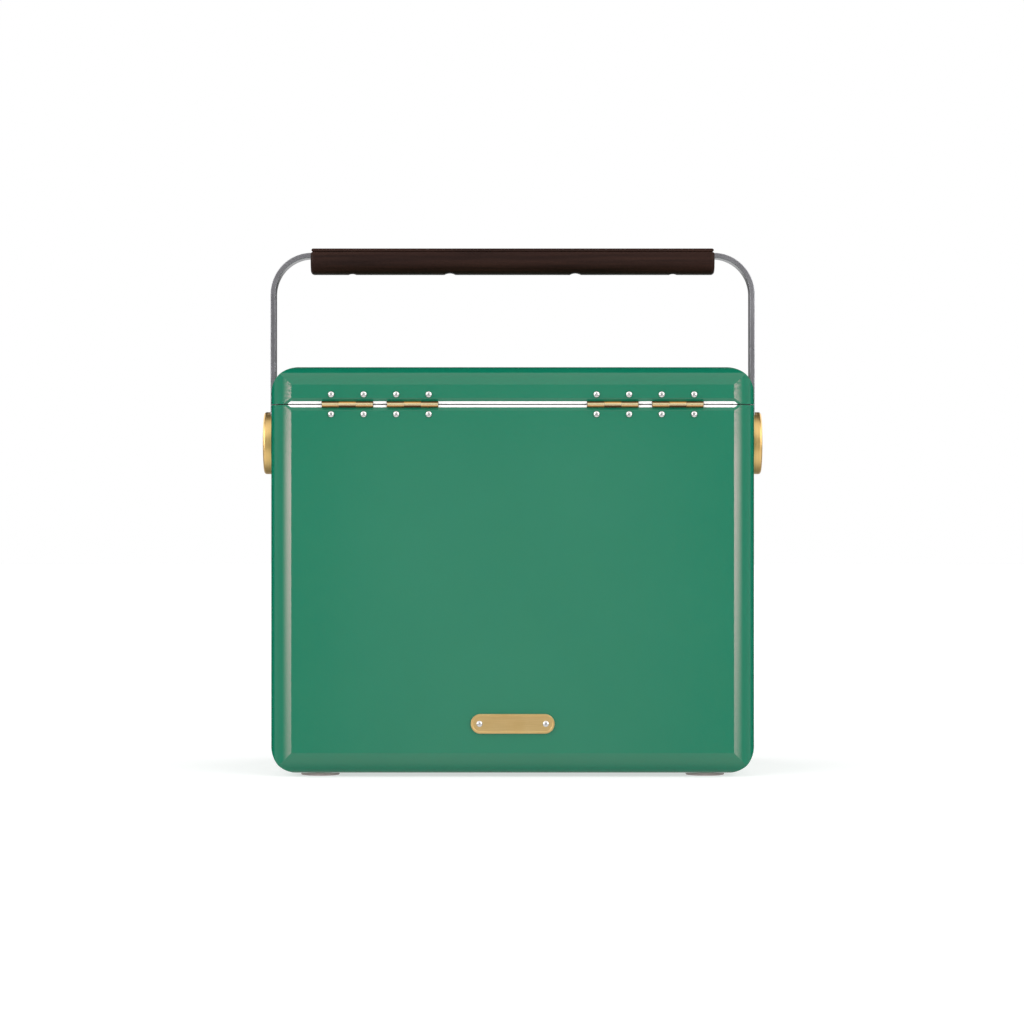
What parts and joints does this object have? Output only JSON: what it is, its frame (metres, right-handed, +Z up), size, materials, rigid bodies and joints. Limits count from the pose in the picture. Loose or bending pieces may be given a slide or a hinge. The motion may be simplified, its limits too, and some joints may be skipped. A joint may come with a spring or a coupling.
{
  "type": "insulated cooler chest",
  "caption": "Insulated hard-sided cooler chest with a hinged lid, a swing-over strap handle with a dark grip, brass pivot caps, butt hinges and a front hasp.",
  "frame": {"origin": "on the floor under the middle of the case, at the bottom of the feet", "axes": "+Z up, -Y out of the front with the hasp, +Y out of the hinge side, +X to the right for someone who looks at the front"},
  "size_m": [0.405, 0.2607, 0.4226],
  "materials": {
    "green_shell": "satin",
    "white_liner": "satin",
    "foam": "matte",
    "gasket_rubber": "matte",
    "brass": "satin",
    "strap_steel": "satin",
    "screw_steel": "polished",
    "grip_wood": "satin",
    "washer_nylon": "matte",
    "foot_rubber": "matte"
  },
  "bodies": {
    "case": {"base_shell": "green_shell", "base_liner": "white_liner", "base_insulation": "foam", "hinge_base_screws": "screw_steel", "foot_screws": "screw_steel", "badge_plate": "brass", "badge_screws": "screw_steel", "latch_plate": "brass", "latch_pin": "screw_steel", "latch_screws": "screw_steel", "hinge_1_base_leaf": "brass", "hinge_1_pin": "screw_steel", "hinge_2_base_leaf": "brass", "hinge_2_pin": "screw_steel", "hinge_3_base_leaf": "brass", "hinge_3_pin": "screw_steel", "hinge_4_base_leaf": "brass", "hinge_4_pin": "screw_steel", "pivot_anchor_left": "strap_steel", "pivot_washer_left": "washer_nylon", "pivot_bolt_left": "screw_steel", "pivot_anchor_right": "strap_steel", "pivot_washer_right": "washer_nylon", "pivot_bolt_right": "screw_steel", "foot_front_left": "foot_rubber", "foot_front_right": "foot_rubber", "foot_back_left": "foot_rubber", "foot_back_right": "foot_rubber"},
    "lid": {"lid_shell": "green_shell", "lid_insulation": "foam", "lid_liner": "white_liner", "lid_gasket": "gasket_rubber", "hinge_lid_screws": "screw_steel", "keeper_plate": "brass", "keeper_screws": "screw_steel", "hinge_1_lid_leaf": "brass", "hinge_2_lid_leaf": "brass", "hinge_3_lid_leaf": "brass", "hinge_4_lid_leaf": "brass"},
    "handle": {"handle_strap": "strap_steel", "grip_body": "grip_wood", "grip_top": "grip_wood", "grip_screws": "screw_steel", "pivot_cap_left": "brass", "pivot_cap_right": "brass"},
    "hasp": {"latch_hasp": "brass"}
  },
  "joints": [
    {"name": "lid_hinge", "type": "hinge", "parent": "case", "child": "lid", "pos_m": [0, 0.1275, 0.2926], "axis": [-1, 0, 0], "range_deg": [0, 28]},
    {"name": "handle_pivot", "type": "hinge", "parent": "case", "child": "handle", "pos_m": [0, 0, 0.2644], "axis": [1, 0, 0], "range_deg": [-105, 95]},
    {"name": "hasp_hinge", "type": "hinge", "parent": "case", "child": "hasp", "pos_m": [0, -0.1294, 0.272], "axis": [-1, 0, 0], "range_deg": [0, 180]}
  ]
}
